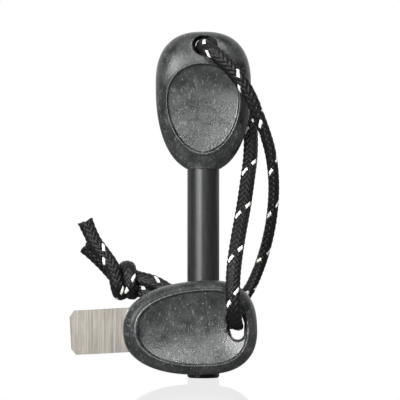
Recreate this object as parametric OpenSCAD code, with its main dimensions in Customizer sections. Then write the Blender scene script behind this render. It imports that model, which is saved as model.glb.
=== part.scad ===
// Ferro rod fire starter: a rod in a moulded grip, a scraper in a smaller grip, and the cord that ties them.
// Millimetres. The origin is the centre of the rod's bare end, which the object stands on. +Z runs up the rod,
// +X is to the right and +Y is away from whoever looks at the front.

/* [Ferro rod] */
// Diameter of the ferro rod
rod_d = 9.5; // [8:0.1:10]
// Bare length below the handle grip
rod_bare = 61.9; // [50:0.1:70]
// Length held inside the handle grip
rod_held = 26; // [22:0.5:28]

/* [Handle grip] */
// Width of the handle grip
handle_w = 28.3; // [26:0.1:30]
// Length from the widest place to the blunt top
handle_blunt = 15.8; // [15:0.1:17]
// Length from the widest place to the virtual tapered end
handle_taper = 25.9; // [25:0.1:27]
// Thickness of the handle grip before its dishes are cut
handle_t = 16; // [15:0.1:18]
// Height of the widest place above the floor
handle_z = 86.8; // [80:0.1:92]

/* [Striker grip] */
// Width of the striker grip, which stands on its edge
striker_w = 27.6; // [26:0.1:29]
// Length from the widest place to the blunt right end
striker_blunt = 15; // [14:0.1:16]
// Length from the widest place to the tapered left end
striker_taper = 24.5; // [23:0.1:26]
// Thickness of the striker grip before its dishes are cut
striker_t = 12.8; // [12:0.1:13.5]
// Height of the middle of the striker grip above the floor
striker_z = 15.3; // [14.5:0.1:16]
// Distance of the striker grip's widest place to the right of the rod's axis
striker_x = 0.8; // [0:0.1:1.5]
// Tilt of the striker grip and its blade, in degrees
striker_tilt = 3; // [0:0.5:4]
// Gap between the rod and the back of the striker grip
striker_gap = 0.5; // [0.4:0.1:2]

/* [Striker blade] */
// Height of the blade
blade_w = 13; // [12:0.1:14]
// Thickness of the blade
blade_t = 1.9; // [1.5:0.1:2.2]
// Distance of the blade's free end to the left of the rod's axis
blade_reach = 39; // [37:0.1:41]

/* [Lanyard] */
// Diameter of the cord
cord_d = 4; // [3.6:0.1:4]

/* [Hidden] */
$fn = 64;

grip_colour = [0.19, 0.195, 0.195];
rod_colour = [0.1, 0.1, 0.105];
blade_colour = [0.58, 0.55, 0.52];
cord_colour = [0.03, 0.03, 0.032];

// A pebble's outline is a superellipse whose blunt half is squarer than its tapered half
blunt_power = 2.5;
taper_power = 2.3;
// A pebble's edge, seen from the side
edge_power = 2.6;
pebble_sides = 80;
rim_rings = 7;

// A dish follows the pebble's face, a step below it at its edge and deeper in the middle
dish_step = 0.7;
handle_dish_depth = 1.8;
striker_dish_depth = 3.3;
// Share of the striker grip's half thickness that is left at its rim
rim_share = 0.74;
dish_rings = 5;
// Each dish as half width, blunt length, taper length, shift of its middle towards the blunt end and two powers
handle_dish = [10.7, 10.7, 15.5, -4.8, 2.2, 1.9];
striker_dish = [10.9, 11.6, 20.8, 0.5, 2.5, 2.3];

// The grip's lower end is a round neck close about the rod: its end radius, its top radius and its length
neck_end_r = 5.05;
neck_top_r = 5.9;
neck_length = 4.6;

groove_depth = 0.6;
groove_w = 2;
groove_heights = [70, 79];
rod_chamfer = 0.4;

// The handle's eyelet is a stadium; the cord turns on the axis of its left half
eyelet_r = 2.85;
eyelet_axis = [-0.3, 98.4];
eyelet_shift = 1.4;

// The striker's cord hole is an oval: a wide middle round the hinge axis and two smaller ends
hole_axis = [9.7, 16.2];
hole_r = 2.6;
hole_end_r = 2.1;
hole_end_shift = 2.7;
hole_lean = 8;

striker_y = -(rod_d / 2 + striker_gap + rim_share * striker_t / 2);

// The tang inside the striker grip is narrower than the blade and keyed by two holes
tang_w = 9;
tang_start = 20.5;
tang_end = 1;
tang_hole_r = 1.7;
tang_holes = [15.5, 8];
blade_corner = [1.4, 1.8];
blade_root = 23;
blade_z = 14.5;

far = 60;

function spow(v, e) = sign(v) * pow(abs(v), e);

// Point of an egg outline at an angle, blunt end towards +X
function egg_point(w, blunt, taper, a, powers = [blunt_power, taper_power]) =
    let (n = cos(a) >= 0 ? powers[0] : powers[1], len = cos(a) >= 0 ? blunt : taper)
    [len * spow(cos(a), 2 / n), w * spow(sin(a), 2 / n)];

// How far out a point lies in an egg outline: 0 at its middle and 1 on the outline
function egg_rho(w, blunt, taper, u, v) =
    let (n = u >= 0 ? blunt_power : taper_power, len = u >= 0 ? blunt : taper)
    pow(pow(abs(u) / len, n) + pow(abs(v) / w, n), 1 / n);

// Half thickness of a pebble at a point of its face
function face_height(w, blunt, taper, half_t, u, v) =
    half_t * pow(max(0, 1 - pow(egg_rho(w, blunt, taper, u, v), edge_power)), 1 / edge_power);

// Faces between two neighbouring rings of points
function band(first, second, sides) = [for (j = [0 : sides - 1]) each [
    [first + j, second + j, second + (j + 1) % sides],
    [first + j, second + (j + 1) % sides, first + (j + 1) % sides]]];

function fan(ring, tip, sides, flip) = [for (j = [0 : sides - 1])
    flip ? [ring + (j + 1) % sides, ring + j, tip] : [ring + j, ring + (j + 1) % sides, tip]];

// A pebble in the XZ plane, blunt end towards +X, with a dish in each face. Rings run from the middle of the front
// face over the dish, up its step, across the rim, round the edge and back again to the middle of the back face.
module dished_pebble(w, blunt, taper, half_t, dish, depth) {
    turns = [for (i = [0 : pebble_sides - 1]) -360 * i / pebble_sides];
    outer = [for (a = turns) egg_point(w, blunt, taper, a)];
    inner = [for (a = turns) egg_point(dish[0], dish[1], dish[2], a, [dish[4], dish[5]]) + [dish[3], 0]];
    height = function (p) face_height(w, blunt, taper, half_t, p[0], p[1]);
    sunk = function (p, r) height(p) - dish_step - (depth - dish_step) * (1 - r * r);
    middle = [dish[3], 0];
    floor_rings = [for (k = [1 : dish_rings]) let (r = k / dish_rings)
        [for (p = inner) let (q = middle + (p - middle) * r) [q[0], sunk(q, r), q[1]]]];
    rims = [for (k = [0 : rim_rings - 1]) let (s = sin(90 * k / rim_rings))
        [for (i = [0 : pebble_sides - 1]) let (q = inner[i] + (outer[i] - inner[i]) * s)
            [q[0], height(q), q[1]]]];
    half = concat(floor_rings, rims);
    count = len(half);
    points = concat(
        [for (ring = half) each [for (p = ring) [p[0], -p[1], p[2]]]],
        [for (p = outer) [p[0], 0, p[1]]],
        [for (k = [count - 1 : -1 : 0]) each half[k]],
        [[dish[3], -sunk(middle, 0), 0], [dish[3], sunk(middle, 0), 0]]);
    tips = (2 * count + 1) * pebble_sides;
    faces = concat(
        [for (k = [0 : 2 * count - 1]) each band(k * pebble_sides, (k + 1) * pebble_sides, pebble_sides)],
        fan(0, tips, pebble_sides, false),
        fan(2 * count * pebble_sides, tips + 1, pebble_sides, true));
    polyhedron(points, faces);
}

// A straight hole through the object along Y
module bore_y(x, z, r) {
    translate([x, -far / 2, z]) rotate([-90, 0, 0]) cylinder(h = far, r = r);
}

module slab_y(points) {
    translate([0, far / 2, 0]) rotate([90, 0, 0]) linear_extrude(far) polygon(points);
}

module handle_eyelet() {
    bore_y(eyelet_axis[0], eyelet_axis[1], eyelet_r);
    bore_y(eyelet_axis[0] + eyelet_shift, eyelet_axis[1], eyelet_r);
    x0 = eyelet_axis[0];
    slab_y([[x0, eyelet_axis[1] - eyelet_r], [x0 + eyelet_shift, eyelet_axis[1] - eyelet_r],
            [x0 + eyelet_shift, eyelet_axis[1] + eyelet_r], [x0, eyelet_axis[1] + eyelet_r]]);
}

// The oval is drawn standing, then leaned; its flanks touch all three circles
module striker_hole() {
    flank = asin((hole_r - hole_end_r) / hole_end_shift);
    module end(way) {
        translate([0, 0, way * hole_end_shift]) bore_y(0, 0, hole_end_r);
        slab_y([[-hole_r * cos(flank), way * hole_r * sin(flank)],
                [hole_r * cos(flank), way * hole_r * sin(flank)],
                [hole_end_r * cos(flank), way * (hole_end_shift + hole_end_r * sin(flank))],
                [-hole_end_r * cos(flank), way * (hole_end_shift + hole_end_r * sin(flank))]]);
    }
    translate([hole_axis[0], 0, hole_axis[1]]) rotate([0, -hole_lean, 0]) {
        bore_y(0, 0, hole_r);
        end(1);
        end(-1);
    }
}

module ferro_rod_solid() {
    top = rod_bare + rod_held;
    rotate_extrude()
        polygon(concat(
            [[0, 0], [rod_d / 2 - rod_chamfer, 0], [rod_d / 2, rod_chamfer]],
            [for (z = groove_heights) each [
                [rod_d / 2, z - groove_w / 2], [rod_d / 2 - groove_depth, z - groove_w / 2],
                [rod_d / 2 - groove_depth, z + groove_w / 2], [rod_d / 2, z + groove_w / 2]]],
            [[rod_d / 2, top], [0, top]]));
}

// Flat plate with a narrower, drilled tang, turned about the place where it leaves the grip
module striker_blade_solid() {
    half = blade_w / 2;
    free = blade_reach - blade_root;
    outline = [
        [-free + blade_corner[0], -half], [blade_root - tang_start, -half],
        [blade_root - tang_start, -tang_w / 2], [blade_root - tang_end, -tang_w / 2],
        [blade_root - tang_end, tang_w / 2], [blade_root - tang_start, tang_w / 2],
        [blade_root - tang_start, half], [-free + blade_corner[0], half],
        [-free, half - blade_corner[1]], [-free, -half + blade_corner[1]]];
    translate([-blade_root, striker_y, blade_z]) rotate([0, -striker_tilt, 0])
        difference() {
            translate([0, blade_t / 2, 0]) rotate([90, 0, 0]) linear_extrude(blade_t) polygon(outline);
            for (x = tang_holes) bore_y(blade_root - x, 0, tang_hole_r);
        }
}

module handle_grip() {
    color(grip_colour) difference() {
        union() {
            translate([0, 0, handle_z]) rotate([0, -90, 0])
                dished_pebble(handle_w / 2, handle_blunt, handle_taper, handle_t / 2, handle_dish,
                              handle_dish_depth);
            translate([0, 0, rod_bare]) cylinder(h = neck_length, r1 = neck_end_r, r2 = neck_top_r);
        }
        translate([0, 0, rod_bare - far / 2]) cube(far, center = true);
        ferro_rod_solid();
        handle_eyelet();
    }
}

module ferro_rod() {
    color(rod_colour) ferro_rod_solid();
}

module striker_grip() {
    color(grip_colour) difference() {
        translate([striker_x, striker_y, striker_z]) rotate([0, -striker_tilt, 0])
            dished_pebble(striker_w / 2, striker_blunt, striker_taper, striker_t / 2, striker_dish,
                          striker_dish_depth);
        striker_blade_solid();
        striker_hole();
    }
}

module striker_blade() {
    color(blade_colour) striker_blade_solid();
}

// Route of the one cord, end to end. It starts at the cut end of the upper tail.
tail_upper = [[-35.2, 8, 46], [-34, 8, 43.2], [-32.4, 7.8, 40]];
// Down the left of the knot's front, under it, up its back and over the top
knot_left = [[-29.8, 7.6, 36.5], [-27.4, 7.4, 33], [-26.2, 7.4, 29.5], [-25.6, 7.8, 26.5], [-25, 10, 24.4],
             [-24.8, 13.5, 24.4], [-25, 16.3, 26.5], [-24.8, 17, 29.5], [-23.8, 15.8, 32.2]];
// Down the right of the knot's front and under it again
knot_right = [[-22.8, 12.5, 32.8], [-22.3, 9, 32.2], [-22, 7.5, 29.3], [-21.8, 7.5, 26.5], [-21.6, 9.8, 24.5]];
// Through the middle of the knot, out to the right
knot_core = [[-22, 13, 24.8], [-23.5, 14.5, 27], [-23.5, 13.5, 29.3], [-21.8, 11.5, 30], [-19.5, 9.5, 29.3]];
// From the knot behind the rod, up the right side, in front of the handle grip and into its eyelet
loop_front = [[-17, 8.5, 28.7], [-14, 7.8, 27.6], [-11, 7.4, 25.9], [-8, 7.3, 24], [-4, 7.3, 22.2],
              [0, 7.3, 21.1], [5, 7.3, 20.8], [9.5, 7.3, 22], [12.4, 7.2, 24.2], [14.3, 7, 27], [17.2, 5.8, 34],
              [19.4, 3.8, 42], [20.6, 1, 50], [20.8, -2, 59], [19.5, -4.8, 68], [16.2, -7.3, 77.5],
              [13.7, -8.8, 83.2], [11.3, -9.7, 87.1], [8.4, -10.3, 90.8], [5.4, -10.5, 93.8],
              [3.2, -10.2, 95.8], [1.5, -9.2, 97.1], [0.3, -7.5, 97.9], [-0.3, -4.5, 98.4]];
// From the eyelet down behind the handle grip, forward past the rod, and back through the striker's hole
loop_rear = [[-0.3, 4.5, 98.4], [0.3, 7.5, 97.9], [1.7, 9.3, 96.7], [3.5, 10.3, 94.9], [5.6, 10.5, 92.4],
             [8.4, 10.2, 88.6], [11, 9.4, 84], [13, 8.1, 79.3], [14, 6.2, 74.5], [14, 1.8, 66],
             [13.1, -3, 59], [11.8, -8.6, 50.5], [10.2, -14.2, 42], [9.1, -18.3, 35], [8.6, -19.8, 29.5],
             [8.6, -20, 24], [9, -18.4, 19.9], [9.4, -15.7, 17.2], [9.7, -12.4, 16.2], [9.7, -8.5, 16.2],
             [9.7, -4, 16.2], [9.4, -0.5, 16.2], [8.1, 3.4, 16.2], [5.3, 6.2, 16.2], [1, 7.3, 16.5],
             [-4, 7.3, 17.6], [-9, 7.4, 19.8], [-13.5, 7.8, 22.6]];
// Across the knot behind the first pass
knot_lower = [[-17, 8.8, 24.8], [-20, 10.5, 26], [-23, 12.5, 27.2], [-25.6, 13.2, 28.8], [-28, 12.6, 31.4]];
tail_lower = [[-29.6, 12.2, 33.2], [-31.6, 11.9, 35.2], [-33.6, 11.7, 37.1], [-35.3, 11.5, 38.7]];

cord_route = concat(tail_upper, knot_left, knot_right, knot_core, loop_front, loop_rear, knot_lower, tail_lower);
knot_first = len(tail_upper);
right_first = knot_first + len(knot_left);
core_first = right_first + len(knot_right);
loop_first = core_first + len(knot_core);
lower_first = loop_first + len(loop_front) + len(loop_rear);
tail_first = lower_first + len(knot_lower);
cord_last = len(cord_route) - 1;
cord_sides = 8;

function unit(v) = v / norm(v);

cord_headings = [for (i = [0 : cord_last])
    unit(cord_route[min(i + 1, cord_last)] - cord_route[max(i - 1, 0)])];

// A side direction at each point, which turns as little as it can along the route
function carried(sides, i) = i > cord_last ? sides
    : carried(concat(sides, [unit(sides[i - 1] - cord_headings[i] * (sides[i - 1] * cord_headings[i]))]), i + 1);

cord_across = carried([unit(cross(cord_headings[0], [0.3, 1, 0.2]))], 1);

// The round cord from one point of its route to another; stretches that share a point meet face to face
module cord_stretch(first, last) {
    points = concat(
        [for (i = [first : last]) each [for (j = [0 : cord_sides - 1]) let (a = 360 * j / cord_sides)
            cord_route[i]
            + cord_d / 2 * (cos(a) * cord_across[i] + sin(a) * cross(cord_headings[i], cord_across[i]))]],
        [cord_route[first], cord_route[last]]);
    spans = last - first;
    tips = (spans + 1) * cord_sides;
    faces = concat(
        [for (k = [0 : spans - 1]) each band(k * cord_sides, (k + 1) * cord_sides, cord_sides)],
        fan(0, tips, cord_sides, false),
        fan(spans * cord_sides, tips + 1, cord_sides, true));
    polyhedron(points, faces);
}

module lanyard_loop() {
    color(cord_colour) cord_stretch(loop_first, lower_first);
}

module lanyard_knot() {
    color(cord_colour) union() {
        cord_stretch(knot_first, right_first);
        cord_stretch(right_first, core_first);
        cord_stretch(core_first, loop_first);
        cord_stretch(lower_first, tail_first);
    }
}

module lanyard_tail_upper() {
    color(cord_colour) cord_stretch(0, knot_first);
}

module lanyard_tail_lower() {
    color(cord_colour) cord_stretch(tail_first, cord_last);
}

handle_grip();
ferro_rod();
striker_grip();
striker_blade();
lanyard_loop();
lanyard_knot();
lanyard_tail_upper();
lanyard_tail_lower();
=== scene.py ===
"""Visual model of the ferro rod fire starter: braided cord, speckled grips, satin rod and brushed blade.

Sizes are in millimetres until a mesh is made. The origin is the centre of the rod's bare end, +Z runs up the
rod, +X is to the right and +Y is away from the camera.
"""
import math

import bmesh
import bpy
import numpy as np
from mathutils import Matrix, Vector
from mathutils.geometry import delaunay_2d_cdt


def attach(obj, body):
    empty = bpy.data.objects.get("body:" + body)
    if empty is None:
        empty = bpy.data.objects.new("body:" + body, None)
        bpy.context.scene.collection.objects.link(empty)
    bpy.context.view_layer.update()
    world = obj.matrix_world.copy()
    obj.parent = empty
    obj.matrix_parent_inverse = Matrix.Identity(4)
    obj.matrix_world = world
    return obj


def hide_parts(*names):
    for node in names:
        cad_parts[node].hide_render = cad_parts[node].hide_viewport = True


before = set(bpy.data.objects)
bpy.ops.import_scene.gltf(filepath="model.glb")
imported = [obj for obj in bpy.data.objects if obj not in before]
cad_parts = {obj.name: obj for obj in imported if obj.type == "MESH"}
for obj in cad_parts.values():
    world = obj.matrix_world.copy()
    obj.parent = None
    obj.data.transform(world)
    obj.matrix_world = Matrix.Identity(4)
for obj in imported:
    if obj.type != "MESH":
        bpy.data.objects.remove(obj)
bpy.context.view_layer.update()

MM = 0.001

# The photograph's scale and the place of its middle at the rod
PHOTO_PIXELS = 400
PIXELS_PER_MM = 3.37
ROD_PX = 203.3
FLOOR_PY = 377.5
CAMERA_DISTANCE = 900.0
SENSOR = 36.0


# Camera

view_middle_x = (PHOTO_PIXELS / 2 - ROD_PX) / PIXELS_PER_MM
view_middle_z = (FLOOR_PY - PHOTO_PIXELS / 2) / PIXELS_PER_MM
camera_data = bpy.data.cameras.new("camera")
camera_data.sensor_width = SENSOR
camera_data.lens = SENSOR * CAMERA_DISTANCE * PIXELS_PER_MM / PHOTO_PIXELS
camera_data.clip_start = 0.01
camera_data.clip_end = 100
camera = bpy.data.objects.new("camera", camera_data)
bpy.context.scene.collection.objects.link(camera)
camera.location = (view_middle_x * MM, -CAMERA_DISTANCE * MM, view_middle_z * MM)
camera.rotation_euler = (math.radians(90), 0, 0)
bpy.context.scene.camera = camera


# Helpers for meshes

def mesh_object(name, points, faces, body, smooth=True):
    """An object from points in millimetres, riding on a body."""
    mesh = bpy.data.meshes.new(name)
    mesh.from_pydata((np.asarray(points, float) * MM).tolist(), [], faces)
    mesh.validate()
    mesh.update()
    if smooth:
        mesh.shade_smooth()
    made = bpy.data.objects.new(name, mesh)
    bpy.context.scene.collection.objects.link(made)
    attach(made, body)
    return made


def unit(v):
    v = np.asarray(v, float)
    return v / np.linalg.norm(v, axis=-1, keepdims=True)


def smooth_step(low, high, x):
    t = np.clip((x - low) / (high - low), 0, 1)
    return t * t * (3 - 2 * t)


# Cord

# Route of the one cord, end to end, as in part.scad
TAIL_UPPER = [(-35.2, 8, 46), (-34, 8, 43.2), (-32.4, 7.8, 40)]
KNOT_LEFT = [(-29.8, 7.6, 36.5), (-27.4, 7.4, 33), (-26.2, 7.4, 29.5), (-25.6, 7.8, 26.5), (-25, 10, 24.4),
             (-24.8, 13.5, 24.4), (-25, 16.3, 26.5), (-24.8, 17, 29.5), (-23.8, 15.8, 32.2)]
KNOT_RIGHT = [(-22.8, 12.5, 32.8), (-22.3, 9, 32.2), (-22, 7.5, 29.3), (-21.8, 7.5, 26.5), (-21.6, 9.8, 24.5)]
KNOT_CORE = [(-22, 13, 24.8), (-23.5, 14.5, 27), (-23.5, 13.5, 29.3), (-21.8, 11.5, 30), (-19.5, 9.5, 29.3)]
CORD_EXIT = (-17, 8.5, 28.7)
LOOP_FRONT = [CORD_EXIT, (-14, 7.8, 27.6), (-11, 7.4, 25.9), (-8, 7.3, 24), (-4, 7.3, 22.2),
              (0, 7.3, 21.1), (5, 7.3, 20.8), (9.5, 7.3, 22), (12.4, 7.2, 24.2), (14.3, 7, 27),
              (17.2, 5.8, 34),
              (19.4, 3.8, 42), (20.6, 1, 50), (20.8, -2, 59), (19.5, -4.8, 68), (16.2, -7.3, 77.5),
              (13.7, -8.8, 83.2), (11.3, -9.7, 87.1), (8.4, -10.3, 90.8), (5.4, -10.5, 93.8),
              (3.2, -10.2, 95.8), (1.5, -9.2, 97.1), (0.3, -7.5, 97.9), (-0.3, -4.5, 98.4)]
LOOP_REAR = [(-0.3, 4.5, 98.4), (0.3, 7.5, 97.9), (1.7, 9.3, 96.7), (3.5, 10.3, 94.9), (5.6, 10.5, 92.4),
             (8.4, 10.2, 88.6), (11, 9.4, 84), (13, 8.1, 79.3), (14, 6.2, 74.5), (14, 1.8, 66),
             (13.1, -3, 59), (11.8, -8.6, 50.5), (10.2, -14.2, 42), (9.1, -18.3, 35), (8.6, -19.8, 29.5),
             (8.6, -20, 24), (9, -18.4, 19.9), (9.4, -15.7, 17.2), (9.7, -12.4, 16.2), (9.7, -8.5, 16.2),
             (9.7, -4, 16.2), (9.4, -0.5, 16.2), (8.1, 3.4, 16.2), (5.3, 6.2, 16.2), (1, 7.3, 16.5),
             (-4, 7.3, 17.6), (-9, 7.4, 19.8), (-13.5, 7.8, 22.6)]
KNOT_LOWER = [(-17, 8.8, 24.8), (-20, 10.5, 26), (-23, 12.5, 27.2), (-25.6, 13.2, 28.8), (-28, 12.6, 31.4)]
TAIL_LOWER = [(-29.6, 12.2, 33.2), (-31.6, 11.9, 35.2), (-33.6, 11.7, 37.1), (-35.3, 11.5, 38.7)]
ROUTE = np.array(TAIL_UPPER + KNOT_LEFT + KNOT_RIGHT + KNOT_CORE + LOOP_FRONT + LOOP_REAR + KNOT_LOWER
                 + TAIL_LOWER, float)
CORD_STEP = 0.2
CORD_SIDES = 56
# Half width and half thickness of the slightly flattened cord, braid included
CORD_HALF_W = 2.2
CORD_HALF_T = 1.65
# The braid has eight carriers each way, and each makes one turn in this length
CARRIERS = 8
BRAID_TURN = 14.2
# Roundness of a carrier, and how much its weave lifts and lowers it
BUNDLE = 0.42
WEAVE = 0.15
# Place of the first falling carrier, which centres the stitches on the cord's wide side
FALLING_START = 0.5
# Half width of a carrier, as a share of its pitch, that shows as yarn
YARN_HALF = 0.42
# Gaps in the UV between carriers and between the two ways, so that no two yarns look alike
YARN_GAP, WAY_GAP = 3, 40
# A cut end spreads by this share over this length, and its middle stands out a little
END_FLARE, FLARE_LENGTH, END_CROWN = 0.12, 1.2, 0.15
# Longest strand that sticks out of a cut end
FRAY = 0.7
# Heights at which the pale carrier faces the camera: on the upper tail, up the front half of the loop and
# down its rear half
TRACER_TAIL = (36.3,)
TRACER_UP = (25.5, 35.9, 50.2, 62.8, 76.4, 89.2)
TRACER_DOWN = (74.5, 61.9, 49.3, 36.6, 25)
# On the loop, only the strands right of this place are meant
TRACER_LEFT = 7.0
# Point of the route and turn of the wide side there: 0 shows it to the camera and 90 shows the edge
WIDE_TURNS = [(0, 0), (5, 0), (14, 0), (24, 0), (29, 30), (31, 70), (33, 85), (35, 80), (37, 60),
              (39, 25), (42, 10), (49, 10), (53, 10), (56, 0), (60, 0), (69, 20), (72, 0), (82, 0)]


def smooth_line(points, step):
    """Even points on a smooth curve through the route, and the arc length of each route point."""
    padded = np.vstack([2 * points[0] - points[1], points, 2 * points[-1] - points[-2]])
    samples = 24
    line, marks = [], []
    for i in range(len(points) - 1):
        p0, p1, p2, p3 = padded[i:i + 4]
        t0 = 0.0
        t1 = t0 + np.linalg.norm(p1 - p0) ** 0.5
        t2 = t1 + np.linalg.norm(p2 - p1) ** 0.5
        t3 = t2 + np.linalg.norm(p3 - p2) ** 0.5
        t = np.linspace(t1, t2, samples, endpoint=False)[:, None]
        a1 = (t1 - t) / (t1 - t0) * p0 + (t - t0) / (t1 - t0) * p1
        a2 = (t2 - t) / (t2 - t1) * p1 + (t - t1) / (t2 - t1) * p2
        a3 = (t3 - t) / (t3 - t2) * p2 + (t - t2) / (t3 - t2) * p3
        b1 = (t2 - t) / (t2 - t0) * a1 + (t - t0) / (t2 - t0) * a2
        b2 = (t3 - t) / (t3 - t1) * a2 + (t - t1) / (t3 - t1) * a3
        marks.append(len(line))
        line.extend((t2 - t) / (t2 - t1) * b1 + (t - t1) / (t2 - t1) * b2)
    marks.append(len(line))
    line.append(points[-1])
    line = np.array(line)
    arc = np.concatenate([[0], np.cumsum(np.linalg.norm(np.diff(line, axis=0), axis=1))])
    count = int(round(arc[-1] / step))
    even = np.linspace(0, arc[-1], count + 1)
    line_even = np.stack([np.interp(even, arc, line[:, k]) for k in range(3)], axis=1)
    reach = 5
    kernel = np.hanning(2 * reach + 3)[1:-1]
    kernel /= kernel.sum()
    ends = np.vstack([np.repeat(line_even[:1], reach, 0), line_even, np.repeat(line_even[-1:], reach, 0)])
    soft = np.stack([np.convolve(ends[:, k], kernel, "valid") for k in range(3)], axis=1)
    soft[:reach], soft[-reach:] = line_even[:reach], line_even[-reach:]
    return soft, even, arc[marks]


def carried_frames(line):
    """Headings, and side directions that turn as little as they can along the line."""
    heading = unit(np.gradient(line, axis=0))
    side = np.zeros_like(line)
    side[0] = unit(np.cross(heading[0], (0, 1, 0)))
    for i in range(1, len(line)):
        v = side[i - 1] - heading[i] * np.dot(side[i - 1], heading[i])
        side[i] = v / np.linalg.norm(v)
    return heading, side, np.cross(heading, side)


def wide_frames(line, even, marks):
    """The cord's wide and thin directions, from the turns given along the route."""
    heading, side, other = carried_frames(line)
    places, angles, last = [], [], 0.0
    for mark, degrees in WIDE_TURNS:
        i = int(np.argmin(abs(even - marks[mark])))
        flat = unit(np.cross(heading[i], (0, 1, 0)))
        deep = np.cross(flat, heading[i])
        wanted = math.cos(math.radians(degrees)) * flat + math.sin(math.radians(degrees)) * deep
        angle = math.atan2(np.dot(wanted, other[i]), np.dot(wanted, side[i]))
        angle += math.pi * round((last - angle) / math.pi)
        places.append(even[i])
        angles.append(angle)
        last = angle
    turn = np.interp(even, places, angles)[:, None]
    wide = np.cos(turn) * side + np.sin(turn) * other
    return heading, wide, np.cross(heading, wide)


def oval_steps(half_w, half_t, count):
    """Ellipse angles whose points are evenly spaced round the oval."""
    a = np.linspace(0, 2 * np.pi, 2001)
    x, y = half_w * np.cos(a), half_t * np.sin(a)
    arc = np.concatenate([[0], np.cumsum(np.hypot(np.diff(x), np.diff(y)))])
    return np.interp(np.arange(count) / count * arc[-1], arc, a)


def carrier_turns(line, even, marks, wide, thin):
    """Turns made by the carriers at each point: the pale one faces the camera at the given heights."""
    angle = np.arctan2(-CORD_HALF_T * thin[:, 1], -CORD_HALF_W * wide[:, 1]) % (2 * np.pi)
    fine = 360
    facing = np.interp(angle, oval_steps(CORD_HALF_W, CORD_HALF_T, fine), np.arange(fine) / fine)
    start = len(TAIL_UPPER + KNOT_LEFT + KNOT_RIGHT + KNOT_CORE)
    middle = start + len(LOOP_FRONT)
    end = middle + len(LOOP_REAR)
    spots = []
    on_right = line[:, 0] > TRACER_LEFT
    strands = ((TRACER_TAIL, 0, len(TAIL_UPPER) + 3, ~on_right), (TRACER_UP, start, middle, on_right),
               (TRACER_DOWN, middle, end, on_right))
    for heights, low, high, side in strands:
        strand = np.flatnonzero((even > marks[low]) & (even < marks[high]) & side)
        spots += [strand[int(np.argmin(abs(line[strand, 2] - z)))] for z in heights]
    places, turns = [even[spots[0]]], [facing[spots[0]]]
    for i in spots[1:]:
        guess = turns[-1] + (even[i] - places[-1]) / BRAID_TURN
        turns.append(facing[i] + round(guess - facing[i]))
        places.append(even[i])
    before = turns[0] + (even - places[0]) / BRAID_TURN
    after = turns[-1] + (even - places[-1]) / BRAID_TURN
    between = np.interp(even, places, turns)
    return np.where(even < places[0], before, np.where(even > places[-1], after, between))


def braid_height(u, s):
    """Height of the braid over its core, whether a rising carrier is on top, which one and how far across.

    u is the place round the cord from 0 to 1, and s is the length along it in carrier turns. A carrier passes
    over two others and then under two, so the surface shows columns of slanting stitches.
    """
    rising = CARRIERS * (s - u)
    falling = CARRIERS * (s + u) + FALLING_START
    i, j = np.round(rising), np.round(falling)

    def bundle(d):
        return np.sqrt(np.clip(1 - (1.9 * d) ** 2, 0, 1))

    over_rising = np.cos(2 * np.pi * (falling - i + 1.5) / 4)
    over_falling = np.cos(2 * np.pi * (j - rising - 0.5) / 4)
    high = BUNDLE * bundle(rising - i) + WEAVE * np.clip(1.6 * over_rising, -1, 1)
    low = BUNDLE * bundle(falling - j) + WEAVE * np.clip(1.6 * over_falling, -1, 1)
    return np.maximum(high, low), high > low, i, rising - i


def fray(points, heading):
    """Cut ends whose strands stick out unevenly."""
    draw = np.random.default_rng(7)
    for first, step, way in ((0, 1, -1), (len(points) - 1, -1, 1)):
        strands = draw.uniform(0, FRAY, CARRIERS * 2)
        place = np.arange(CORD_SIDES) * len(strands) / CORD_SIDES
        strands = np.interp(place, np.arange(len(strands)), strands)
        for row, share in enumerate((1.0, 0.7, 0.35)):
            ring = first + row * step
            points[ring] = points[ring] + way * share * strands[:, None] * heading[ring]
    return points


def braided_cord():
    line, even, marks = smooth_line(ROUTE, CORD_STEP)
    heading, wide, thin = wide_frames(line, even, marks)
    turns = oval_steps(CORD_HALF_W, CORD_HALF_T, CORD_SIDES)
    core_w, core_t = CORD_HALF_W - BUNDLE - WEAVE, CORD_HALF_T - BUNDLE - WEAVE
    rings, sides = len(line), CORD_SIDES
    made = carrier_turns(line, even, marks, wide, thin)
    s = made[:, None]
    u = (np.arange(sides) / sides)[None, :]
    height = braid_height(u, s)[0]
    flare = 1 + END_FLARE * np.exp(-np.minimum(even, even[-1] - even) / FLARE_LENGTH)[:, None]
    across = np.cos(turns)[None, :, None] * wide[:, None, :]
    through = np.sin(turns)[None, :, None] * thin[:, None, :]
    out = unit(across / core_w + through / core_t)
    skin = core_w * across + core_t * through + height[..., None] * out
    points = line[:, None, :] + flare[..., None] * skin
    points = fray(points, heading)
    points = points.reshape(-1, 3)
    k, j = np.meshgrid(np.arange(rings - 1), np.arange(sides), indexing="ij")
    nxt = (j + 1) % sides
    quads = np.stack([k * sides + j, k * sides + nxt, (k + 1) * sides + nxt, (k + 1) * sides + j], axis=-1)
    faces = quads.reshape(-1, 4).tolist()
    first, last = len(points), len(points) + 1
    points = np.vstack([points, line[:1] - END_CROWN * heading[:1], line[-1:] + END_CROWN * heading[-1:]])
    top = (rings - 1) * sides
    faces += [[(i + 1) % sides, i, first] for i in range(sides)]
    faces += [[top + i, top + (i + 1) % sides, last] for i in range(sides)]
    cord = mesh_object("braided_cord", points, faces, "lanyard")
    paint_braid(cord, k, j, made, sides)
    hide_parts("lanyard_loop", "lanyard_knot", "lanyard_tail_upper", "lanyard_tail_lower")
    return cord, line, float(even[-1])


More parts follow.
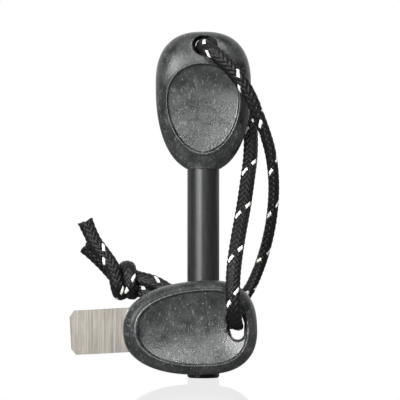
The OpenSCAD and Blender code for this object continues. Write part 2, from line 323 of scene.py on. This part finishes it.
def paint_braid(cord, k, j, made, sides):
    """Gives the pale carrier its material, and each face a UV across and along its own yarn."""
    s = (made[k] + made[k + 1]) / 2
    u = (j + 0.5) / sides
    _, rising_up, carrier, across = braid_height(u, s)
    pale = rising_up & (np.mod(carrier, CARRIERS) == 0) & (abs(across) < YARN_HALF)
    index = np.zeros(len(cord.data.polygons), np.int32)
    index[:pale.size] = pale.reshape(-1)
    cord.data.polygons.foreach_set("material_index", index)
    layer = cord.data.uv_layers.new(name="yarn")
    corners = np.array([[0, 0], [0, 1], [1, 1], [1, 0]])
    cu = (j[..., None] + corners[:, 1]) / sides
    cs = made[k[..., None] + corners[:, 0]]
    sign = np.where(rising_up, -1, 1)[..., None]
    own_falling = np.round(CARRIERS * (s + u) + FALLING_START) - FALLING_START
    own = np.where(rising_up, carrier, own_falling)[..., None]
    a = CARRIERS * (cs + sign * cu) - own
    b = CARRIERS * (cs - sign * cu)
    uv = np.zeros((len(cord.data.loops), 2), np.float32)
    uv[:a.size, 0] = (a + YARN_GAP * np.mod(own, CARRIERS) + WAY_GAP * (sign > 0)).reshape(-1)
    uv[:b.size, 1] = b.reshape(-1)
    layer.data.foreach_set("uv", uv.reshape(-1))


cord, cord_line, cord_length = braided_cord()


# Grips

BLUNT_POWER, TAPER_POWER, EDGE_POWER = 2.5, 2.3, 2.6
PEBBLE_SIDES = 256
DISH_STEP = 0.6
# Rings of points, by their distance inside the dish's edge: close at the step, then spread over its floor
STEP_RINGS = (-0.75, -0.6, -0.48, -0.38, -0.29, -0.2, -0.1, 0.0, 0.1, 0.2, 0.3, 0.4, 0.5, 0.65, 0.9, 1.3, 1.8,
              2.5)
FLOOR_RING = 3.3
# Rings of points round the hole, by their distance outside it, and the nearest other point
HOLE_RINGS = (0.06, 0.14, 0.24, 0.36, 0.5, 0.75)
HOLE_CLEAR = 0.95
# Rows of points behind the neck's cut end, which has this many points across
NECK_ROWS = (0.12, 0.3, 0.5, 0.8)
NECK_ACROSS = 41
WALL_ROWS = 12
# Height of the bead round each dish
BEAD = 0.16


def spow(v, e):
    return np.sign(v) * abs(v) ** e


class Egg:
    """An egg outline: half width, blunt and taper lengths, shift of its middle, and its two powers."""

    def __init__(self, w, blunt, taper, shift=0.0, powers=(BLUNT_POWER, TAPER_POWER)):
        self.w, self.blunt, self.taper, self.shift, self.powers = w, blunt, taper, shift, powers

    def points(self, angles):
        n = np.where(np.cos(angles) >= 0, *self.powers)
        length = np.where(np.cos(angles) >= 0, self.blunt, self.taper)
        u = length * spow(np.cos(angles), 2 / n) + self.shift
        return np.stack([u, self.w * spow(np.sin(angles), 2 / n)], axis=-1)

    def rho(self, p):
        u = p[..., 0] - self.shift
        n = np.where(u >= 0, *self.powers)
        length = np.where(u >= 0, self.blunt, self.taper)
        return ((abs(u) / length) ** n + (abs(p[..., 1]) / self.w) ** n) ** (1 / n)


class Pebble:
    """A moulded grip that lies in the XZ plane, with a dish in each face and one hole for the cord."""

    def __init__(self, middle, turn, outline, half_t, dish, bowl, hole_lip, neck=None):
        self.middle, self.turn, self.outline, self.half_t = np.array(middle, float), turn, outline, half_t
        self.dish, self.bowl, self.hole_lip, self.neck = dish, bowl, hole_lip, neck
        self.hole = self.waist = None

    def to_world(self, p, y):
        c, s = math.cos(self.turn), math.sin(self.turn)
        x = self.middle[0] + c * p[..., 0] - s * p[..., 1]
        z = self.middle[2] + s * p[..., 0] + c * p[..., 1]
        return np.stack([x, self.middle[1] + y, z], axis=-1)

    def to_plane(self, xz):
        c, s = math.cos(self.turn), math.sin(self.turn)
        d = np.asarray(xz, float) - self.middle[[0, 2]]
        return np.stack([c * d[..., 0] + s * d[..., 1], -s * d[..., 0] + c * d[..., 1]], axis=-1)

    def crown(self, p):
        """Half thickness of the pebble before its dish, with the round neck where there is one."""
        face = self.half_t * np.clip(1 - self.outline.rho(p) ** EDGE_POWER, 0, 1) ** (1 / EDGE_POWER)
        if self.neck:
            end, length, r_end, r_top = self.neck
            along = np.clip((p[..., 0] - end) / length, 0, 1)
            radius = r_end + (r_top - r_end) * along
            round_neck = np.sqrt(np.clip(radius ** 2 - p[..., 1] ** 2, 0, None))
            round_neck = round_neck * (1 - smooth_step(0.6, 1.0, along))
            face = (face ** 8 + round_neck ** 8) ** (1 / 8)
        return face

    def height(self, p):
        """Half thickness, with a beaded step down into the hollow dish and a rounded hole."""
        face = self.crown(p)
        rho = self.dish.rho(p)
        inside = (1 - rho) * self.dish.w
        centre = np.array([self.dish.shift, 0.0])
        edge = centre + (p - centre) / np.maximum(rho, 1e-3)[..., None]
        edge_mean = self.crown(self.dish.points(np.radians(np.arange(0, 360, 5)))).mean()
        share = np.clip(rho, 0, 1) ** 2
        sunk = share * self.crown(edge) + (1 - share) * (edge_mean - self.bowl) - DISH_STEP
        step = smooth_step(-0.1, 0.45, inside)
        bead = BEAD * np.exp(-((inside + 0.32) / 0.24) ** 2)
        face = face * (1 - step) + sunk * step + bead
        d = self.hole_distance(p)
        lip = np.clip(self.hole_lip - d, 0, self.hole_lip)
        return face - (self.hole_lip - np.sqrt(np.clip(self.hole_lip ** 2 - lip ** 2, 0, None)))

    def hole_distance(self, p):
        """Distance outside the hole's outline."""
        flat = p.reshape(-1, 2)
        best = np.full(len(flat), 1e9)
        for a, b in zip(self.hole, np.roll(self.hole, -1, axis=0)):
            along = b - a
            t = np.clip(((flat - a) @ along) / (along @ along), 0, 1)
            best = np.minimum(best, np.linalg.norm(flat - (a + t[:, None] * along), axis=1))
        return best.reshape(p.shape[:-1])

    def in_hole(self, p):
        x, y = p[..., 0], p[..., 1]
        inside = np.zeros(x.shape, bool)
        for (x0, y0), (x1, y1) in zip(self.hole, np.roll(self.hole, -1, axis=0)):
            crosses = (y0 > y) != (y1 > y)
            with np.errstate(divide="ignore", invalid="ignore"):
                at = (x1 - x0) * (y - y0) / (y1 - y0) + x0
            inside ^= crosses & (x < at)
        return inside

    def plane_points(self):
        """The outline, and the face's points: rings out to the dish's edge and from there to the outline."""
        turns = np.arange(PEBBLE_SIDES) * 2 * np.pi / PEBBLE_SIDES
        outer, inner = self.outline.points(turns), self.dish.points(turns)
        centre = np.array([self.dish.shift, 0.0])
        w = self.dish.w
        steps_in = [1 - d / w for d in STEP_RINGS]
        steps_in += list(np.linspace(1 - FLOOR_RING / w, 0.08, 12))
        rings = [centre + (inner - centre) * r for r in steps_in]
        rings += [inner + (outer - inner) * s for s in np.sin(np.linspace(0.34, math.pi / 2, 20))[:-1]]
        inner_points = np.vstack(rings + [centre[None]])
        return outer, inner_points

    def mesh(self, name, body, bore=None):
        outer, loose = self.plane_points()
        cut = self.neck[0] if self.neck else None
        if cut is not None:
            outer = self.cut_outline(outer, cut)
            loose = loose[loose[:, 0] > cut + NECK_ROWS[0]]
        keep = (self.hole_distance(loose) > HOLE_CLEAR) & ~self.in_hole(loose)
        keep &= self.outline.rho(loose) < 0.9999
        extra = [loose[keep]] + [self.hole_offset(d) for d in HOLE_RINGS]
        if cut is not None:
            extra.append(self.neck_points(cut))
        points = np.vstack([outer, self.hole] + extra)
        loops = [range(len(outer)), range(len(outer), len(outer) + len(self.hole))]
        edges = [(a, b) for loop in loops for a, b in zip(loop, list(loop)[1:] + [loop[0]])]
        verts, _, tris, _, _, _ = delaunay_2d_cdt([Vector(p) for p in points], edges, [], 0, 1e-6)
        flat = np.array([list(v) for v in verts])
        tris = np.array([list(t) for t in tris])
        middle = flat[tris].mean(axis=1)
        tris = tris[~self.in_hole(middle)]
        area = np.cross(flat[tris[:, 1]] - flat[tris[:, 0]], flat[tris[:, 2]] - flat[tris[:, 0]])
        tris = tris[abs(area) > 1e-9]
        return self.close(name, body, flat, tris, outer, cut, bore)

    def cut_outline(self, outer, cut):
        """The outline with its taper end cut straight across, as wide as the neck."""
        r_end = self.neck[2]
        kept = outer[outer[:, 0] > cut + 0.4]
        start = int(np.argmax(np.linalg.norm(np.diff(np.vstack([kept, kept[:1]]), axis=0), axis=1))) + 1
        kept = np.roll(kept, -start, axis=0)
        sign = np.sign(kept[-1, 1])
        across = np.linspace(sign * r_end, -sign * r_end, NECK_ACROSS)
        return np.vstack([kept, np.stack([np.full(NECK_ACROSS, cut), across], axis=1)])

    def neck_points(self, cut):
        reach = self.neck[2] - 0.15
        across = np.linspace(-reach, reach, NECK_ACROSS)
        return np.array([(cut + d, v) for d in NECK_ROWS for v in across])

    def hole_offset(self, d):
        away = np.roll(self.hole, -1, axis=0) - np.roll(self.hole, 1, axis=0)
        normal = unit(np.stack([away[:, 1], -away[:, 0]], axis=1))
        return self.hole + d * normal

    def close(self, name, body, flat, tris, outer, cut, bore):
        """Both faces, the hole's wall and, on a grip with a neck, its flat end and the bore for the rod."""
        h = self.height(flat)
        rim = self.outline.rho(flat) > 0.99999
        if cut is not None:
            at_end = abs(flat[:, 0] - cut) < 1e-6
            h = np.where(at_end, np.sqrt(np.clip(self.neck[2] ** 2 - flat[:, 1] ** 2, 0, None)), h)
            rim = (rim & ~at_end) | (at_end & (abs(abs(flat[:, 1]) - self.neck[2]) < 1e-6))
        h = np.where(rim, 0.0, np.maximum(h, 0.01))
        tris = tris[~rim[tris].all(axis=1)]
        front = self.to_world(flat, -h)
        back = self.to_world(flat, h)
        used = np.unique(tris)
        front_id = np.full(len(flat), -1)
        front_id[used] = np.arange(len(used))
        back_id = front_id.copy()
        own = used[~rim[used]]
        back_id[own] = len(used) + np.arange(len(own))
        points = [front[used], back[own]]
        turned = np.cross(flat[tris[:, 1]] - flat[tris[:, 0]], flat[tris[:, 2]] - flat[tris[:, 0]]) < 0
        tris = np.where(turned[:, None], tris[:, ::-1], tris)
        faces = front_id[tris].tolist() + back_id[tris][:, ::-1].tolist()
        total = len(used) + len(own)
        hole = self.match(flat, self.hole)
        walls = [front_id[hole]]
        for r in range(1, WALL_ROWS):
            y = -h[hole] + 2 * h[hole] * r / WALL_ROWS
            narrow = math.sin(math.pi * r / WALL_ROWS)
            points.append(self.to_world(flat[hole] + narrow * (self.waist - flat[hole]), y))
            walls.append(total + np.arange(len(hole)))
            total += len(hole)
        walls.append(back_id[hole])
        faces += ring_faces(walls)
        if cut is not None:
            end = self.match(flat, outer[abs(outer[:, 0] - cut) < 1e-6])
            loop = np.concatenate([front_id[end], back_id[end[1:-1]][::-1]])
            ring = np.vstack([front[end], back[end[1:-1]][::-1]])
            axis = self.to_world(np.array([cut, 0.0]), 0.0)
            radius, deep = bore
            out = ring - axis
            inner = axis + unit(out) * radius
            up = np.array([0, 0, deep])
            loops = [loop]
            for layer in (inner, inner + up):
                points.append(layer)
                loops.append(total + np.arange(len(loop)))
                total += len(loop)
            faces += ring_faces(loops[::-1])
            points.append((axis + up)[None])
            faces += [[loops[-1][i], loops[-1][(i + 1) % len(loop)], total] for i in range(len(loop))]
        made = mesh_object(name, np.vstack(points), faces, body)
        tidy_normals(made)
        return made

    @staticmethod
    def match(flat, wanted):
        return np.array([int(np.argmin(((flat - w) ** 2).sum(axis=1))) for w in wanted])


def ring_faces(rings):
    faces = []
    for a, b in zip(rings, rings[1:]):
        n = len(a)
        faces += [[int(a[i]), int(a[(i + 1) % n]), int(b[(i + 1) % n]), int(b[i])] for i in range(n)]
    return faces


def tidy_normals(made):
    """Merges doubled points, makes all normals point outwards and prints how many edges are open."""
    work = bmesh.new()
    work.from_mesh(made.data)
    bmesh.ops.remove_doubles(work, verts=work.verts, dist=1e-7)
    bmesh.ops.recalc_face_normals(work, faces=work.faces)
    open_edges = [e for e in work.edges if len(e.link_faces) != 2]
    print(made.name, "faces", len(work.faces), "open edges", len(open_edges))
    work.to_mesh(made.data)
    work.free()
    made.data.shade_smooth()


ROD_R = 4.75
ROD_BARE, ROD_HELD = 61.9, 26.0
HANDLE_Z = 86.8
NECK_LENGTH, NECK_END_R, NECK_TOP_R = 4.6, 5.05, 5.15
EYELET_R, EYELET_SHIFT = 2.85, 1.4
EYELET_AXIS = np.array([-0.3, 98.4])

arc = np.radians(np.arange(-90, 91, 6))
right = EYELET_AXIS + [EYELET_SHIFT, 0] + EYELET_R * np.stack([np.cos(arc), np.sin(arc)], axis=1)
left = EYELET_AXIS - EYELET_R * np.stack([np.cos(arc), np.sin(arc)], axis=1)
handle = Pebble(middle=(0, 0, HANDLE_Z), turn=math.pi / 2, outline=Egg(14.15, 15.8, 25.9), half_t=8.0,
                dish=Egg(10.7, 10.7, 15.5, -4.8, (2.2, 1.9)), bowl=1.1, hole_lip=0.5,
                neck=(ROD_BARE - HANDLE_Z, NECK_LENGTH, NECK_END_R, NECK_TOP_R))
handle.hole = handle.to_plane(np.vstack([right, left]))
# The eyelet narrows to a round throat that the cord fills
THROAT_R = 2.0
throat_axis = handle.to_plane(EYELET_AXIS)
handle.waist = throat_axis + THROAT_R * unit(handle.hole - throat_axis)
handle_grip = handle.mesh("handle_grip_moulding", "fire_rod", bore=(ROD_R + 0.02, ROD_HELD))
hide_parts("handle_grip")

STRIKER_X, STRIKER_Z, STRIKER_TILT = 0.8, 15.3, 3.0
STRIKER_HALF_T = 6.4
# The striker's face stands this far off the rod, and its rim reaches this share of the half thickness
STRIKER_GAP, RIM_SHARE = 0.5, 0.74
STRIKER_Y = -(ROD_R + STRIKER_GAP + RIM_SHARE * STRIKER_HALF_T)
HOLE_AXIS = np.array([9.7, 16.2])
# The hole's wall bulges inwards by this much
WAIST = 0.3
HOLE_R, HOLE_END_R, HOLE_END_SHIFT, HOLE_LEAN = 2.6, 2.1, 2.7, 8.0


def striker_hole():
    """Outline of the oval: the circle round the hinge axis and two smaller ends, joined by their flanks."""
    flank = math.degrees(math.asin((HOLE_R - HOLE_END_R) / HOLE_END_SHIFT))
    outline = []
    arcs = ((-flank, flank, HOLE_R, 0), (flank, 180 - flank, HOLE_END_R, 1),
            (180 - flank, 180 + flank, HOLE_R, 0), (180 + flank, 360 - flank, HOLE_END_R, -1))
    for low, high, r, shift in arcs:
        for a in np.radians(np.linspace(low, high, max(4, int((high - low) / 6)), endpoint=False)):
            outline.append((r * math.cos(a), r * math.sin(a) + shift * HOLE_END_SHIFT))
    lean = math.radians(HOLE_LEAN)
    turned = [(x * math.cos(lean) - z * math.sin(lean), x * math.sin(lean) + z * math.cos(lean))
              for x, z in outline]
    return HOLE_AXIS + np.array(turned)


striker = Pebble(middle=(STRIKER_X, STRIKER_Y, STRIKER_Z), turn=math.radians(STRIKER_TILT),
                 outline=Egg(13.8, 15.0, 24.5), half_t=STRIKER_HALF_T,
                 dish=Egg(10.9, 11.6, 20.8, 0.5), bowl=1.7, hole_lip=0.45)
striker.hole = striker.to_plane(striker_hole())
striker.waist = striker.hole_offset(-WAIST)
striker_grip = striker.mesh("striker_grip_moulding", "striker")
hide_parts("striker_grip")


# Materials

def material(name):
    made = bpy.data.materials.new(name)
    made.use_nodes = True
    made.node_tree.nodes.clear()
    return made, made.node_tree


def node(tree, kind, **inputs):
    made = tree.nodes.new(kind)
    for key, value in inputs.items():
        if key in made.inputs:
            made.inputs[key].default_value = value
        else:
            setattr(made, key, value)
    return made


def ramp(tree, source, stops):
    made = tree.nodes.new("ShaderNodeValToRGB")
    elements = made.color_ramp.elements
    elements[0].position, elements[0].color = stops[0][0], (*stops[0][1], 1)
    elements[1].position, elements[1].color = stops[-1][0], (*stops[-1][1], 1)
    for place, colour in stops[1:-1]:
        elements.new(place).color = (*colour, 1)
    tree.links.new(source, made.inputs["Fac"])
    return made.outputs["Color"]


def grey(v):
    return (v, v, v)


def mix(tree, kind, factor, a, b):
    """Colour of a and b mixed; each may be a socket or a colour."""
    made = tree.nodes.new("ShaderNodeMix")
    made.data_type, made.blend_type = "RGBA", kind
    for socket, value in ((made.inputs[0], factor), (made.inputs[6], a), (made.inputs[7], b)):
        if isinstance(value, bpy.types.NodeSocket):
            tree.links.new(value, socket)
        elif isinstance(value, tuple):
            socket.default_value = (*value, 1)
        else:
            socket.default_value = value
    return made.outputs[2]


def grip_plastic():
    """Dark bioplastic with fine pale specks and short fibres, and a slightly worn matte skin."""
    made, tree = material("speckled_bioplastic")
    links = tree.links
    place = tree.nodes.new("ShaderNodeTexCoord").outputs["Object"]
    clouds = node(tree, "ShaderNodeTexNoise", Scale=260.0, Detail=4.0, Roughness=0.6)
    fine = node(tree, "ShaderNodeTexNoise", Scale=1500.0, Detail=3.0, Roughness=0.7)
    specks = node(tree, "ShaderNodeTexVoronoi", Scale=1150.0, Randomness=1.0)
    fibre_map = node(tree, "ShaderNodeMapping", Scale=(1.0, 0.35, 0.45))
    fibres = node(tree, "ShaderNodeTexNoise", Scale=1900.0, Detail=2.0, Distortion=0.6)
    for texture in (clouds, fine, specks, fibre_map):
        links.new(place, texture.inputs["Vector"])
    links.new(fibre_map.outputs["Vector"], fibres.inputs["Vector"])
    base = ramp(tree, clouds.outputs["Fac"], [(0.36, (0.011, 0.013, 0.014)), (0.64, (0.032, 0.034, 0.033))])
    grain = ramp(tree, fine.outputs["Fac"], [(0.35, grey(0.6)), (0.65, grey(1.5))])
    base = mix(tree, "MULTIPLY", 0.8, base, grain)
    fibre = ramp(tree, fibres.outputs["Fac"], [(0.6, grey(0)), (0.7, grey(1))])
    base = mix(tree, "MIX", fibre, base, (0.1, 0.102, 0.096))
    near = ramp(tree, specks.outputs["Distance"], [(0.1, grey(1)), (0.2, grey(0))])
    chosen = ramp(tree, specks.outputs["Color"], [(0.8, grey(0)), (0.86, grey(1))])
    speck = mix(tree, "MULTIPLY", 1.0, near, chosen)
    base = mix(tree, "MIX", speck, base, (0.3, 0.305, 0.29))
    shader = node(tree, "ShaderNodeBsdfPrincipled", Roughness=0.5)
    shader.inputs["Specular IOR Level"].default_value = 0.6
    links.new(base, shader.inputs["Base Color"])
    rough = ramp(tree, clouds.outputs["Fac"], [(0.35, grey(0.28)), (0.65, grey(0.4))])
    links.new(rough, shader.inputs["Roughness"])
    bump = node(tree, "ShaderNodeBump", Strength=0.5, Distance=0.00012)
    links.new(fine.outputs["Fac"], bump.inputs["Height"])
    links.new(bump.outputs["Normal"], shader.inputs["Normal"])
    out = tree.nodes.new("ShaderNodeOutputMaterial")
    links.new(shader.outputs["BSDF"], out.inputs["Surface"])
    return made


def yarn(name, dark, light, roughness, shine):
    """Multifilament yarn: fine streaks along each stitch of the braid."""
    made, tree = material(name)
    links = tree.links
    place = node(tree, "ShaderNodeUVMap", uv_map="yarn").outputs["UV"]
    streak_map = node(tree, "ShaderNodeMapping", Scale=(9.0, 1.1, 1.0))
    links.new(place, streak_map.inputs["Vector"])
    streaks = node(tree, "ShaderNodeTexNoise", Scale=1.6, Detail=3.0, Roughness=0.6)
    links.new(streak_map.outputs["Vector"], streaks.inputs["Vector"])
    colour = ramp(tree, streaks.outputs["Fac"], [(0.32, dark), (0.68, light)])
    shader = node(tree, "ShaderNodeBsdfPrincipled", Roughness=roughness)
    shader.inputs["Specular IOR Level"].default_value = shine
    links.new(colour, shader.inputs["Base Color"])
    bump = node(tree, "ShaderNodeBump", Strength=0.6, Distance=0.00006)
    links.new(streaks.outputs["Fac"], bump.inputs["Height"])
    links.new(bump.outputs["Normal"], shader.inputs["Normal"])
    out = tree.nodes.new("ShaderNodeOutputMaterial")
    links.new(shader.outputs["BSDF"], out.inputs["Surface"])
    return made


def rod_coating():
    """Satin dark coating with faint lengthwise marks."""
    made, tree = material("satin_black_rod")
    links = tree.links
    place = tree.nodes.new("ShaderNodeTexCoord").outputs["Object"]
    stretch = node(tree, "ShaderNodeMapping", Scale=(1.0, 1.0, 0.12))
    links.new(place, stretch.inputs["Vector"])
    marks = node(tree, "ShaderNodeTexNoise", Scale=900.0, Detail=4.0, Roughness=0.65)
    links.new(stretch.outputs["Vector"], marks.inputs["Vector"])
    colour = ramp(tree, marks.outputs["Fac"], [(0.3, (0.009, 0.0095, 0.01)), (0.7, (0.018, 0.0185, 0.019))])
    shader = node(tree, "ShaderNodeBsdfPrincipled", Roughness=0.3)
    shader.inputs["Specular IOR Level"].default_value = 0.42
    links.new(colour, shader.inputs["Base Color"])
    rough = ramp(tree, marks.outputs["Fac"], [(0.3, grey(0.3)), (0.7, grey(0.38))])
    links.new(rough, shader.inputs["Roughness"])
    bump = node(tree, "ShaderNodeBump", Strength=0.2, Distance=0.00005)
    links.new(marks.outputs["Fac"], bump.inputs["Height"])
    links.new(bump.outputs["Normal"], shader.inputs["Normal"])
    out = tree.nodes.new("ShaderNodeOutputMaterial")
    links.new(shader.outputs["BSDF"], out.inputs["Surface"])
    return made


def brushed_steel():
    """Warm grey steel, ground across the blade."""
    made, tree = material("brushed_steel")
    links = tree.links
    place = tree.nodes.new("ShaderNodeTexCoord").outputs["Object"]
    stretch = node(tree, "ShaderNodeMapping", Scale=(1.0, 1.0, 0.03))
    links.new(place, stretch.inputs["Vector"])
    grain = node(tree, "ShaderNodeTexNoise", Scale=2600.0, Detail=4.0, Roughness=0.7)
    broad = node(tree, "ShaderNodeTexNoise", Scale=90.0, Detail=2.0)
    links.new(stretch.outputs["Vector"], grain.inputs["Vector"])
    links.new(place, broad.inputs["Vector"])
    colour = ramp(tree, grain.outputs["Fac"], [(0.3, (0.17, 0.16, 0.142)), (0.7, (0.41, 0.384, 0.345))])
    tone = ramp(tree, broad.outputs["Fac"], [(0.3, grey(0.92)), (0.7, grey(1.06))])
    colour = mix(tree, "MULTIPLY", 1.0, colour, tone)
    shader = node(tree, "ShaderNodeBsdfPrincipled", Metallic=1.0, Roughness=0.36)
    links.new(colour, shader.inputs["Base Color"])
    bump = node(tree, "ShaderNodeBump", Strength=0.3, Distance=0.00005)
    links.new(grain.outputs["Fac"], bump.inputs["Height"])
    links.new(bump.outputs["Normal"], shader.inputs["Normal"])
    out = tree.nodes.new("ShaderNodeOutputMaterial")
    links.new(shader.outputs["BSDF"], out.inputs["Surface"])
    return made


def dress(target, *looks):
    """Gives a piece its materials. Where it has several, each face keeps the one that it had."""
    mesh = target.data
    worn = np.zeros(len(mesh.polygons), np.int32)
    mesh.polygons.foreach_get("material_index", worn)
    mesh.materials.clear()
    for look in looks:
        mesh.materials.append(look)
    if len(looks) > 1:
        mesh.polygons.foreach_set("material_index", worn)


plastic = grip_plastic()
dress(handle_grip, plastic)
dress(striker_grip, plastic)
black_yarn = yarn("black_yarn", (0.0012, 0.0012, 0.0015), (0.008, 0.0083, 0.0087), 0.45, 0.24)
pale_yarn = yarn("pale_yarn", (0.62, 0.61, 0.56), (0.86, 0.85, 0.8), 0.6, 0.3)
dress(cord, black_yarn, pale_yarn)
dress(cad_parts["ferro_rod"], rod_coating())
dress(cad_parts["striker_blade"], brushed_steel())


# Floor, world and lamps

FLOOR_SIZE = 12.0
# Share of a polished floor's mirror image that this one shows
FLOOR_GLOSS = 0.27


def floor_material():
    """White to the camera, with a faint mirror image of what stands on it; other rays see a dim grey floor.
    """
    made, tree = material("white_floor")
    links = tree.links
    shader = node(tree, "ShaderNodeBsdfDiffuse")
    shader.inputs["Color"].default_value = (0.25, 0.25, 0.25, 1)
    glow = node(tree, "ShaderNodeEmission", Strength=1.0)
    mirror = node(tree, "ShaderNodeBsdfGlossy", Roughness=0.04)
    mirror.inputs["Color"].default_value = (1, 1, 1, 1)
    fresnel = node(tree, "ShaderNodeFresnel", IOR=1.45)
    gloss = node(tree, "ShaderNodeMath", operation="MULTIPLY")
    gloss.inputs[1].default_value = FLOOR_GLOSS
    links.new(fresnel.outputs["Fac"], gloss.inputs[0])
    seen = tree.nodes.new("ShaderNodeMixShader")
    links.new(gloss.outputs[0], seen.inputs["Fac"])
    links.new(glow.outputs[0], seen.inputs[1])
    links.new(mirror.outputs[0], seen.inputs[2])
    rays = tree.nodes.new("ShaderNodeLightPath")
    pick = tree.nodes.new("ShaderNodeMixShader")
    links.new(rays.outputs["Is Camera Ray"], pick.inputs[0])
    links.new(shader.outputs[0], pick.inputs[1])
    links.new(seen.outputs[0], pick.inputs[2])
    out = tree.nodes.new("ShaderNodeOutputMaterial")
    links.new(pick.outputs[0], out.inputs["Surface"])
    return made


floor_mesh = bpy.data.meshes.new("floor")
half = FLOOR_SIZE / 2
floor_corners = [(-half, -half, 0), (half, -half, 0), (half, half, 0), (-half, half, 0)]
floor_mesh.from_pydata(floor_corners, [], [(0, 1, 2, 3)])
floor = bpy.data.objects.new("floor", floor_mesh)
bpy.context.scene.collection.objects.link(floor)
floor.data.materials.append(floor_material())

ROOM = 0.04
world = bpy.data.worlds.new("studio")
bpy.context.scene.world = world
world.use_nodes = True
tree = world.node_tree
tree.nodes.clear()
rays = tree.nodes.new("ShaderNodeLightPath")
white = node(tree, "ShaderNodeBackground", Strength=1.0)
white.inputs["Color"].default_value = (1, 1, 1, 1)
studio = node(tree, "ShaderNodeBackground", Strength=1.0)
facing = tree.nodes.new("ShaderNodeSeparateXYZ")
tree.links.new(tree.nodes.new("ShaderNodeTexCoord").outputs["Generated"], facing.inputs["Vector"])
# The lit backdrop is behind the object, and the room in front of it is dim
tree.links.new(ramp(tree, facing.outputs["Y"], [(0.0, grey(ROOM)), (0.35, grey(1))]), studio.inputs["Color"])
pick = tree.nodes.new("ShaderNodeMixShader")
tree.links.new(rays.outputs["Is Camera Ray"], pick.inputs[0])
tree.links.new(studio.outputs[0], pick.inputs[1])
tree.links.new(white.outputs[0], pick.inputs[2])
world_out = tree.nodes.new("ShaderNodeOutputWorld")
tree.links.new(pick.outputs[0], world_out.inputs["Surface"])


def soft_box(name, azimuth, elevation, distance, width, height, watts):
    """An area lamp that faces the object's middle. Azimuth 0 is the camera's side and 90 is the right."""
    a, e = math.radians(azimuth), math.radians(elevation)
    target = Vector((0, 0, 0.05))
    away = Vector((math.sin(a) * math.cos(e), -math.cos(a) * math.cos(e), math.sin(e)))
    data = bpy.data.lights.new(name, "AREA")
    data.shape, data.size, data.size_y, data.energy = "RECTANGLE", width, height, watts
    lamp = bpy.data.objects.new(name, data)
    lamp.location = target + away * distance
    lamp.rotation_mode = "QUATERNION"
    lamp.rotation_quaternion = away.to_track_quat("Z", "Y")
    bpy.context.scene.collection.objects.link(lamp)


soft_box("left_box", -42, 8, 1.0, 0.3, 0.8, 9.0)
soft_box("top_box", 12, 55, 1.0, 0.6, 0.3, 5.0)
soft_box("glint_left", -23, 9, 1.0, 0.14, 0.14, 8.0)
soft_box("glint_right", 11, 22, 1.0, 0.1, 0.1, 4.0)
bpy.context.scene.view_settings.view_transform = "Standard"
